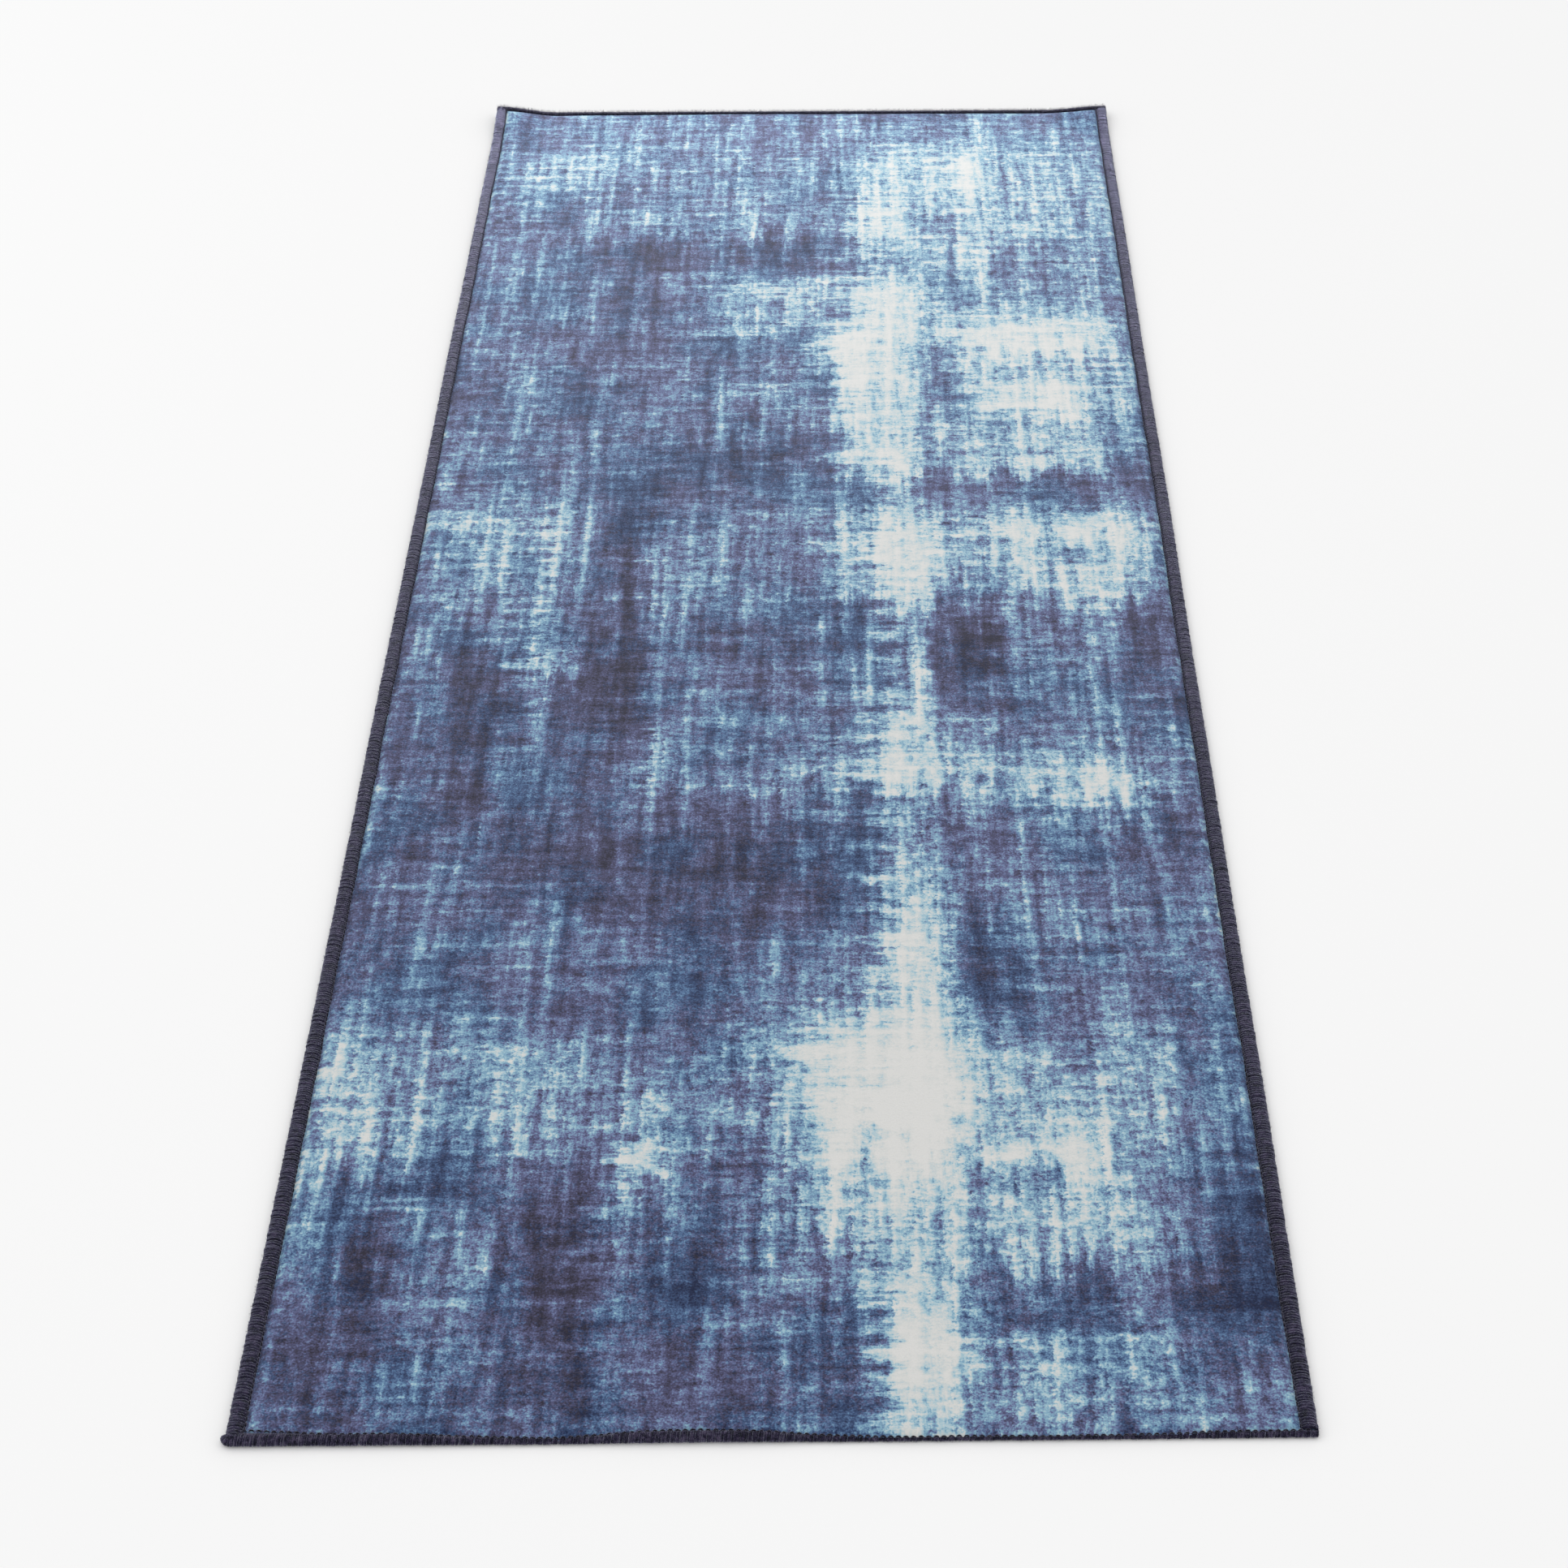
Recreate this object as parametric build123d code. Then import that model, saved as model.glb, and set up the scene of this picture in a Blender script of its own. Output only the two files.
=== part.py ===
from build123d import *
import os

# A runner rug: a printed short pile on a woven ground cloth and a non-slip backing, with an
# overlocked yarn edging round its four sides. Lengths are in millimetres. The origin is the
# centre of the underside, +Z is up through the pile, +Y runs along the rug and +X across it.

# Outside size, over the edging
rug_width = 610.0
rug_length = 1829.0

# The bonded layers in the open field, from the floor up
backing_thickness = 1.2
ground_thickness = 0.8
pile_height = 3.0

# The same layers in the border, where the overlocking squeezes them and lifts them a little
border_lift = 0.8
border_backing = 0.9
border_ground = 0.5
border_pile = 2.4

# The edging, a sleeve of yarn wrapped round the squeezed border
side_band = 10.5
end_band = 9.5
edging_height = 5.4
edging_round = 2.4
cloth_inset = 1.4

# The needle thread that locks the edging along its inner line
thread_width = 0.8
thread_height = 0.6
end_thread_margin = 1.0

# Worked out from the sizes above
field_width = rug_width - 2 * side_band
field_length = rug_length - 2 * end_band
cloth_width = rug_width - 2 * cloth_inset
cloth_length = rug_length - 2 * cloth_inset

backing_top = backing_thickness
ground_top = backing_top + ground_thickness
pile_top = ground_top + pile_height

border_backing_top = border_lift + border_backing
border_ground_top = border_backing_top + border_ground
border_top = border_ground_top + border_pile


def slab(width, length, low, high):
    """A flat block centred on the rug, between two heights."""
    block = Box(width, length, high - low, align=(Align.CENTER, Align.CENTER, Align.MIN))
    return Pos(0, 0, low) * block


def layer(low, high, border_low, border_high):
    """One bonded layer: full thickness in the field, squeezed in a rim all round it."""
    field = slab(field_width, field_length, low, high)
    rim = slab(cloth_width, cloth_length, border_low, border_high)
    rim -= slab(field_width, field_length, border_low, border_high)
    return field + rim


def along_edge(outward_turn, reach):
    """The place of a piece drawn with its length along X and its outer side towards +Y.

    outward_turn is the turn about Z that points +Y out over the edge, in degrees, and reach
    is the distance from the rug's centre to that edge of the field.
    """
    return Rot(0, 0, outward_turn) * Pos(0, reach, 0)


def needle_thread(run):
    """A row of needle thread: a run over the border, one under it and a leg at each end."""
    low = border_lift - thread_height
    high = border_top + thread_height
    loop = Pos(0, 0, low) * Box(
        run, thread_width, high - low, align=(Align.CENTER, Align.MIN, Align.MIN)
    )
    gap = Pos(0, 0, border_lift) * Box(
        run - 2 * thread_width,
        thread_width,
        border_top - border_lift,
        align=(Align.CENTER, Align.MIN, Align.MIN),
    )
    return loop - gap


def side_bar(run):
    """The outer shape of a long edging: its ends are square, because they meet the end bars."""
    bar = Box(run, side_band, edging_height, align=(Align.CENTER, Align.MIN, Align.MIN))
    outer_edges = bar.faces().sort_by(Axis.Y)[-1].edges().filter_by(Axis.X)
    return fillet(outer_edges, edging_round)


def end_bar(run):
    """The outer shape of an end edging, which runs past the long ones and is rounded off."""
    bar = Box(run, end_band, edging_height, align=(Align.CENTER, Align.MIN, Align.MIN))
    inner_edges = bar.faces().sort_by(Axis.Y)[0].edges()
    free_edges = [edge for edge in bar.edges() if edge not in inner_edges]
    return fillet(free_edges, edging_round)


def write(shape, node):
    """Write one sub-part under its node name."""
    export_step(shape, f"parts/{node}.step")


os.makedirs("parts", exist_ok=True)

# The four edges of the field: the turn that faces each one outward, its distance from the
# centre, the outer shape of its edging and the length of its needle thread
edges = {
    "right": (-90, field_width / 2, side_bar(field_length), field_length),
    "left": (90, field_width / 2, side_bar(field_length), field_length),
    "far_end": (0, field_length / 2, end_bar(rug_width), cloth_width - 2 * end_thread_margin),
    "near_end": (180, field_length / 2, end_bar(rug_width), cloth_width - 2 * end_thread_margin),
}

border = slab(cloth_width, cloth_length, border_lift, border_top)
layers = {
    "non_slip_backing": layer(0, backing_top, border_lift, border_backing_top),
    "ground_cloth": layer(backing_top, ground_top, border_backing_top, border_ground_top),
    "printed_pile": layer(ground_top, pile_top, border_ground_top, border_top),
}

for name, (turn, reach, bar, thread_run) in edges.items():
    place = along_edge(turn, reach)
    thread = place * needle_thread(thread_run)
    write(thread, f"{name}_needle_thread")
    write(place * bar - border - thread, f"{name}_edging")
    layers = {node: shape - thread for node, shape in layers.items()}

for node, shape in layers.items():
    write(shape, node)
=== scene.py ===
"""A runner rug lying flat: printed short pile, ground cloth, non-slip backing, overlocked edges.

Lengths are in metres. The rug lies on the floor with its underside at z = 0 and runs along +Y,
from its near end to its far end. Every soft layer follows one description of how the rug lies,
so the layers, the edging yarns and the needle threads stay together.
"""

import logging
import math
import random
from collections.abc import Callable
from dataclasses import dataclass
from enum import Enum
from functools import cached_property

import bmesh
import bpy
from mathutils import Matrix, Vector, noise


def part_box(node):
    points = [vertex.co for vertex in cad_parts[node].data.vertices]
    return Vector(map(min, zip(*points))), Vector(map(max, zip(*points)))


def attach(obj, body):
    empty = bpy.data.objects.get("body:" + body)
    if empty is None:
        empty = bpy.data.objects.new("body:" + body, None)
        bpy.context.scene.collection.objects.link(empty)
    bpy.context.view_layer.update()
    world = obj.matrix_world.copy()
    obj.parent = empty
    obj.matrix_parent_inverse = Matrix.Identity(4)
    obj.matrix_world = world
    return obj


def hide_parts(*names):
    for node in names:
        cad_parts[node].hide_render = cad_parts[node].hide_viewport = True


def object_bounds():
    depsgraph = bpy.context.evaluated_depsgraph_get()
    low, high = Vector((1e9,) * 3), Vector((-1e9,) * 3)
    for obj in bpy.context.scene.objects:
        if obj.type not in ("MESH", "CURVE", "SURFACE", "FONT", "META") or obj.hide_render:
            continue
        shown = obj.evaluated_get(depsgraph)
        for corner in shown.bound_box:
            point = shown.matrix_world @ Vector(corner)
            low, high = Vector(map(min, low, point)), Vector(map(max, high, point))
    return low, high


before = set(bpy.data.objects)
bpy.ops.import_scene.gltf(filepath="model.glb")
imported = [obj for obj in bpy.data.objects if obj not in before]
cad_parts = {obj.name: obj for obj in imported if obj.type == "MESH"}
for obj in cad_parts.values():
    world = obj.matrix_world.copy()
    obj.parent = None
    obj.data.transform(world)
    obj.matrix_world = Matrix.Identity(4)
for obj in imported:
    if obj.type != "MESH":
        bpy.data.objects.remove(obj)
CAD_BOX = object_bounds()

BODY = "root"
LOG = logging.getLogger("rug")
NOISE_SEED = 5
ORDER = Vector((1.0, 31.7, 7.13))

Triple = tuple[float, float, float]
Stops = tuple[tuple[float, Triple], ...]
Band = tuple[tuple[float, float], ...]
Bend = Callable[[Vector], Vector]


# ---- shader writing


class Value:
    """A number that varies over a surface, written with Python's own arithmetic."""

    def __init__(self, shader: "Shader", socket: bpy.types.NodeSocket) -> None:
        """Wrap one output socket of a shader."""
        self.shader = shader
        self.socket = socket

    def __add__(self, other: "Value | float") -> "Value":
        """Sum."""
        return self.shader.maths("ADD", self, other)

    def __sub__(self, other: "Value | float") -> "Value":
        """Difference."""
        return self.shader.maths("SUBTRACT", self, other)

    def __rsub__(self, other: float) -> "Value":
        """Difference from a plain number."""
        return self.shader.maths("SUBTRACT", other, self)

    def __mul__(self, other: "Value | float") -> "Value":
        """Product."""
        return self.shader.maths("MULTIPLY", self, other)

    def __rpow__(self, other: float) -> "Value":
        """A plain number to the power of this value."""
        return self.shader.maths("POWER", other, self)

    __radd__ = __add__
    __rmul__ = __mul__


@dataclass(frozen=True)
class Grain:
    """One noise pattern.

    stretch is its repeats per metre along each axis, shift is an offset that makes it differ
    from the others, detail is how many finer octaves it has and roughness how strong they are.
    """

    stretch: Triple
    shift: Triple = (0.0, 0.0, 0.0)
    detail: float = 2.0
    roughness: float = 0.6


class Shader:
    """One material's node tree, with a Principled surface to feed."""

    def __init__(self, name: str) -> None:
        """Start a material.

        Args:
            name: the material's name.
        """
        self.material = bpy.data.materials.new(name)
        self.material.use_nodes = True
        self.tree = self.material.node_tree
        self.surface = self.tree.nodes["Principled BSDF"]
        self.place = self.node("ShaderNodeTexCoord").outputs["Object"]

    def node(
        self, kind: str, settings: dict | None = None, inputs: dict | None = None
    ) -> bpy.types.Node:
        """Add one node.

        Args:
            kind: the node's type.
            settings: its properties, set before its sockets; "stops" fills a ramp.
            inputs: numbers, colours or links for its sockets, by name or index.

        Returns:
            The node.
        """
        made = self.tree.nodes.new(kind)
        for key, value in (settings or {}).items():
            if key == "stops":
                self._fill_ramp(made.color_ramp, value)
            else:
                setattr(made, key, value)
        for key, value in (inputs or {}).items():
            self.feed(made.inputs[key], value)
        return made

    def feed(self, socket: bpy.types.NodeSocket, value: object) -> None:
        """Link a socket, or set its constant.

        Args:
            socket: the input socket.
            value: a Value, an output socket, or a constant.
        """
        if isinstance(value, Value):
            value = value.socket
        if isinstance(value, bpy.types.NodeSocket):
            self.tree.links.new(value, socket)
        elif isinstance(value, tuple) and len(value) == 3 and socket.type == "RGBA":
            socket.default_value = (*value, 1.0)
        else:
            socket.default_value = value

    @staticmethod
    def _fill_ramp(ramp: bpy.types.ColorRamp, stops: Stops) -> None:
        """Give a colour ramp its stops.

        Args:
            ramp: a new ramp.
            stops: each stop's position and colour.
        """
        while len(ramp.elements) < len(stops):
            ramp.elements.new(1.0)
        for element, (position, colour) in zip(ramp.elements, stops):
            element.position = position
            element.color = (*colour, 1.0)

    def maths(self, operation: str, *terms: "Value | float") -> Value:
        """One Math node on up to three terms."""
        made = self.node("ShaderNodeMath", {"operation": operation}, dict(enumerate(terms)))
        return Value(self, made.outputs[0])

    def vector(self, operation: str, *terms: object) -> bpy.types.NodeSocket:
        """One Vector Math node, by its vector output."""
        made = self.node("ShaderNodeVectorMath", {"operation": operation}, dict(enumerate(terms)))
        return made.outputs["Vector"]

    def dot(self, first: object, second: object) -> Value:
        """The dot product of two vectors.

        Args:
            first: one vector.
            second: the other.

        Returns:
            The product.
        """
        settings = {"operation": "DOT_PRODUCT"}
        made = self.node("ShaderNodeVectorMath", settings, {0: first, 1: second})
        return Value(self, made.outputs["Value"])

    def parts(self, vector: object) -> tuple[Value, Value, Value]:
        """A vector's three numbers."""
        made = self.node("ShaderNodeSeparateXYZ", None, {0: vector})
        return tuple(Value(self, socket) for socket in made.outputs)

    def joined(self, x: object, y: object, z: object = 0.0) -> bpy.types.NodeSocket:
        """A vector made of three numbers."""
        return self.node("ShaderNodeCombineXYZ", None, {0: x, 1: y, 2: z}).outputs[0]

    def stepped(self, value: Value, low: float, high: float) -> Value:
        """A smooth rise from 0 at low to 1 at high.

        Args:
            value: what rises.
            low: where it starts.
            high: where it ends.

        Returns:
            The risen value.
        """
        settings = {"interpolation_type": "SMOOTHSTEP"}
        made = self.node("ShaderNodeMapRange", settings, {0: value, 1: low, 2: high})
        return Value(self, made.outputs[0])

    def grain(self, place: bpy.types.NodeSocket, grain: Grain) -> Value:
        """Noise about 0.5.

        Args:
            place: where to read the noise.
            grain: its pattern.

        Returns:
            The noise.
        """
        at = self.vector("MULTIPLY_ADD", place, grain.stretch, grain.shift)
        inputs = {"Vector": at, "Scale": 1.0, "Detail": grain.detail, "Roughness": grain.roughness}
        made = self.node("ShaderNodeTexNoise", {"noise_dimensions": "3D"}, inputs)
        return Value(self, made.outputs[0])

    def ramp(self, value: Value, stops: Stops) -> bpy.types.NodeSocket:
        """A colour ramp read at a value."""
        return self.node("ShaderNodeValToRGB", {"stops": stops}, {0: value}).outputs["Color"]

    def mixed(self, share: Value, first: object, second: object) -> bpy.types.NodeSocket:
        """A colour between two colours, by the share of the second."""
        made = self.node("ShaderNodeMix", {"data_type": "RGBA"}, {0: share, 6: first, 7: second})
        return made.outputs[2]

    def attribute(self, name: str) -> bpy.types.Node:
        """The node that reads one of the mesh's own attributes."""
        return self.node("ShaderNodeAttribute", {"attribute_name": name})

    def relief(self, height: Value, depth: float, strength: float) -> None:
        """Raise the surface's normal by a height pattern of that depth in metres."""
        bump = {"Height": height, "Distance": depth, "Strength": strength}
        self.dress(Normal=self.node("ShaderNodeBump", None, bump).outputs[0])

    def dress(self, **sockets: object) -> None:
        """Feed the surface's sockets; an underscore stands for a space in a name."""
        for name, value in sockets.items():
            self.feed(self.surface.inputs[name.replace("_", " ")], value)


# ---- how the rug lies


def smooth_rise(value: float, low: float, high: float) -> float:
    """A smooth rise from 0 at low to 1 at high."""
    share = min(max((value - low) / (high - low), 0.0), 1.0)
    return share * share * (3.0 - 2.0 * share)


class Side(Enum):
    """The four edges, each with the turn that points +Y out over it, in degrees."""

    RIGHT = -90
    LEFT = 90
    FAR_END = 0
    NEAR_END = 180


@dataclass(frozen=True)
class Edge:
    """One edge of the rug, from its needle line to its outer side.

    reach is how far the outer side is from the rug's centre. band lists how deep the edging
    shows, as (share along the edge, depth): the rug's edge is rolled under in places, and less
    of the edging shows there, between rolled_depth and full_depth, and it stands lower.
    """

    side: Side
    half_run: float
    reach: float
    band: Band
    ripple: float = 0.00015
    ripple_rates: tuple[float, float] = (95.0, 41.0)
    rolled_depth: float = 0.001
    full_depth: float = 0.008
    rolled_crown: float = 0.0034
    crown_gain: float = 0.0020

    @cached_property
    def turn(self) -> Matrix:
        """The turn from the edge's own axes to the rug's."""
        return Matrix.Rotation(math.radians(self.side.value), 4, "Z")

    def share(self, along: float) -> float:
        """How far along the edge a place is, from 0 to 1."""
        return min(max(0.5 + along / (2.0 * self.half_run), 0.0), 1.0)

    def depth(self, along: float) -> float:
        """How deep the edging is at a place along the edge.

        Args:
            along: the distance from the middle of the edge.

        Returns:
            The distance from the needle line to the outer side.
        """
        share = self.share(along)
        before = max((p for p in self.band if p[0] <= share), default=self.band[0])
        after = min((p for p in self.band if p[0] >= share), default=self.band[-1])
        gap = after[0] - before[0]
        rise = smooth_rise(share, before[0], after[0]) if gap > 0 else 0.0
        wander = sum(self.ripple * math.sin(along * rate) for rate in self.ripple_rates)
        return before[1] + (after[1] - before[1]) * rise + wander

    def crown(self, along: float) -> float:
        """How high the edging stands at a place along the edge."""
        share = smooth_rise(self.depth(along), self.rolled_depth, self.full_depth)
        return self.rolled_crown + self.crown_gain * share

    def inward(self, x: float, y: float) -> float:
        """How far inside this edge's needle line a point of the rug is."""
        own = self.turn.inverted() @ Vector((x, y, 0.0))
        return self.reach - self.depth(own.x) - own.y

    def placed(self, along: float, outward: float, height: float) -> Vector:
        """A point given from the needle line, in the rug's axes.

        Args:
            along: the distance from the middle of the edge.
            outward: the distance out from the needle line.
            height: the height over the floor.

        Returns:
            The point.
        """
        out = self.reach - self.depth(along) + outward
        return self.turn @ Vector((along, out, height))


@dataclass(frozen=True)
class Lie:
    """How the laid rug departs from a dead flat sheet.

    The two far corners lift over corner_reach, the cloth rises in slow waves and the long edges
    sway. The layers go from squeezed to full height between squeeze_start and squeeze_end,
    measured in from the needle line. Rates are per metre, and a seed picks its own noise.
    """

    half_width: float
    half_length: float
    edges: tuple[Edge, ...]
    left_corner_lift: float = 0.0066
    right_corner_lift: float = 0.0042
    corner_reach: float = 0.062
    corner_stretch: float = 0.8
    wave: float = 0.0007
    wave_rates: tuple[float, float] = (3.1, 2.3)
    wave_seed: float = 4.0
    sway: float = 0.0007
    sway_rate: float = 4.0
    left_sway_seed: float = 7.0
    right_sway_seed: float = 11.0
    squeeze_start: float = -0.0010
    squeeze_end: float = 0.0045

    def lift(self, x: float, y: float) -> float:
        """How high the underside stands off the floor.

        Args:
            x: the place across the rug.
            y: the place along the rug.

        Returns:
            The height, never below the floor.
        """
        ears = 0.0
        for side, lift in ((-1.0, self.left_corner_lift), (1.0, self.right_corner_lift)):
            back = self.corner_stretch * (y - self.half_length)
            away = math.hypot(x - side * self.half_width, back)
            ears += lift * (1.0 - smooth_rise(away, 0.0, self.corner_reach))
        across_rate, along_rate = self.wave_rates
        swell = noise.noise(Vector((x * across_rate, y * along_rate, self.wave_seed)))
        return ears + self.wave * max(swell, 0.0)

    def drift(self, x: float, y: float) -> float:
        """How far the rug wanders sideways at a place.

        Args:
            x: the place across the rug.
            y: the place along the rug.

        Returns:
            The wander, 0 on the middle line and full at the long edges.
        """
        seed = self.right_sway_seed if x > 0.0 else self.left_sway_seed
        wander = noise.noise(Vector((0.0, y * self.sway_rate, seed)))
        return self.sway * wander * abs(x) / self.half_width

    def squeeze(self, x: float, y: float) -> float:
        """0 in the border under the edging, rising to 1 in the open field."""
        inside = min(edge.inward(x, y) for edge in self.edges)
        return smooth_rise(inside, self.squeeze_start, self.squeeze_end)

    def settle(self, shape: bmesh.types.BMesh) -> None:
        """Lay a piece down as the rug lies.

        Args:
            shape: the piece, drawn on a flat floor.
        """
        for vert in shape.verts:
            x, y = vert.co.x, vert.co.y
            vert.co.z += self.lift(x, y)
            vert.co.x += self.drift(x, y)


# ---- finishes


@dataclass(frozen=True)
class Patch:
    """A soft block of the print, bleached pale or inked dark.

    across and along are shares of the rug's width and length, from its near left corner.
    """

    across: float
    along: float
    half_width: float
    half_length: float
    strength: float


# The fields of each block of the print, two blocks to a line
PALE_BLOCKS = (
    (0.610, 0.164, 0.088, 0.048, 0.48), (0.630, 0.165, 0.050, 0.030, 0.16),
    (0.642, 0.100, 0.042, 0.080, 0.41), (0.640, 0.022, 0.042, 0.034, 0.40),
    (0.540, 0.140, 0.065, 0.062, 0.26), (0.560, 0.080, 0.060, 0.040, 0.12),
    (0.790, 0.135, 0.115, 0.060, 0.27), (0.780, 0.132, 0.045, 0.013, 0.26),
    (0.765, 0.090, 0.070, 0.014, 0.16), (0.645, 0.235, 0.046, 0.036, 0.38),
    (0.638, 0.308, 0.038, 0.044, 0.34), (0.150, 0.165, 0.160, 0.034, 0.17),
    (0.050, 0.160, 0.032, 0.040, 0.12), (0.225, 0.165, 0.022, 0.030, 0.14),
    (0.360, 0.140, 0.026, 0.026, 0.28), (0.365, 0.132, 0.018, 0.010, 0.26),
    (0.760, 0.020, 0.045, 0.024, 0.27), (0.860, 0.030, 0.022, 0.030, 0.18),
    (0.150, 0.035, 0.060, 0.016, 0.12), (0.760, 0.362, 0.200, 0.034, 0.14),
    (0.700, 0.355, 0.260, 0.012, 0.20), (0.865, 0.345, 0.045, 0.013, 0.26),
    (0.640, 0.378, 0.050, 0.034, 0.34), (0.648, 0.440, 0.024, 0.045, 0.26),
    (0.800, 0.420, 0.080, 0.030, 0.08), (0.645, 0.515, 0.038, 0.044, 0.58),
    (0.590, 0.520, 0.035, 0.040, 0.26), (0.820, 0.522, 0.150, 0.040, 0.28),
    (0.900, 0.520, 0.045, 0.040, 0.20), (0.850, 0.546, 0.110, 0.009, 0.16),
    (0.800, 0.530, 0.018, 0.040, 0.16), (0.110, 0.530, 0.110, 0.040, 0.16),
    (0.060, 0.555, 0.050, 0.012, 0.20), (0.195, 0.500, 0.014, 0.100, 0.20),
    (0.200, 0.437, 0.045, 0.009, 0.26), (0.370, 0.510, 0.050, 0.030, 0.12),
    (0.350, 0.362, 0.016, 0.032, 0.20), (0.645, 0.585, 0.020, 0.030, 0.30),
    (0.615, 0.650, 0.062, 0.058, 0.50), (0.590, 0.710, 0.065, 0.030, 0.28),
    (0.620, 0.755, 0.070, 0.042, 0.54), (0.840, 0.690, 0.140, 0.090, 0.32),
    (0.850, 0.728, 0.130, 0.020, 0.28), (0.850, 0.665, 0.085, 0.018, 0.26),
    (0.810, 0.605, 0.120, 0.012, 0.20), (0.500, 0.765, 0.028, 0.030, 0.34),
    (0.420, 0.745, 0.050, 0.018, 0.26), (0.440, 0.780, 0.050, 0.016, 0.18),
    (0.780, 0.885, 0.210, 0.085, 0.24), (0.630, 0.850, 0.045, 0.045, 0.26),
    (0.770, 0.890, 0.025, 0.095, 0.18), (0.700, 0.920, 0.100, 0.030, 0.16),
    (0.280, 0.900, 0.280, 0.055, 0.09), (0.150, 0.925, 0.055, 0.025, 0.18),
    (0.420, 0.860, 0.020, 0.035, 0.10),
)
DARK_BLOCKS = (
    (0.360, 0.400, 0.480, 0.100, -0.08), (0.250, 0.280, 0.320, 0.080, -0.05),
    (0.150, 0.030, 0.200, 0.040, -0.12), (0.330, 0.110, 0.220, 0.050, -0.07),
    (0.370, 0.820, 0.200, 0.022, -0.20), (0.500, 0.815, 0.070, 0.018, -0.10),
    (0.170, 0.720, 0.170, 0.080, -0.08), (0.360, 0.600, 0.180, 0.030, -0.14),
    (0.280, 0.500, 0.040, 0.130, -0.16), (0.270, 0.430, 0.050, 0.050, -0.12),
    (0.780, 0.582, 0.210, 0.014, -0.12), (0.715, 0.445, 0.045, 0.042, -0.18),
    (0.730, 0.445, 0.025, 0.020, -0.16), (0.120, 0.410, 0.040, 0.045, -0.20),
    (0.390, 0.460, 0.040, 0.022, -0.12), (0.950, 0.430, 0.045, 0.075, -0.16),
    (0.470, 0.285, 0.120, 0.038, -0.20), (0.200, 0.265, 0.220, 0.060, -0.10),
    (0.715, 0.235, 0.040, 0.032, -0.24), (0.920, 0.280, 0.070, 0.050, -0.10),
    (0.090, 0.085, 0.040, 0.045, -0.20), (0.280, 0.060, 0.045, 0.055, -0.24),
    (0.470, 0.045, 0.110, 0.045, -0.16), (0.830, 0.062, 0.130, 0.016, -0.22),
    (0.950, 0.090, 0.050, 0.060, -0.26), (0.950, 0.620, 0.030, 0.030, -0.20),
    (0.720, 0.690, 0.022, 0.035, -0.10),
)


PALE_STOPS: Stops = (
    (0.578, (0.215, 0.388, 0.512)),
    (0.668, (0.375, 0.535, 0.602)),
    (0.767, (0.540, 0.595, 0.605)),
    (0.866, (0.630, 0.638, 0.622)),
    (1.000, (0.670, 0.666, 0.648)),
)
BLUE_STOPS: Stops = (
    (0.000, (0.008, 0.013, 0.045)),
    (0.110, (0.018, 0.030, 0.080)),
    (0.272, (0.044, 0.078, 0.172)),
    (0.416, (0.100, 0.184, 0.330)),
)
PLUM_STOPS: Stops = (
    (0.000, (0.022, 0.018, 0.032)),
    (0.110, (0.038, 0.034, 0.062)),
    (0.272, (0.075, 0.075, 0.154)),
    (0.416, (0.142, 0.170, 0.322)),
)


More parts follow.
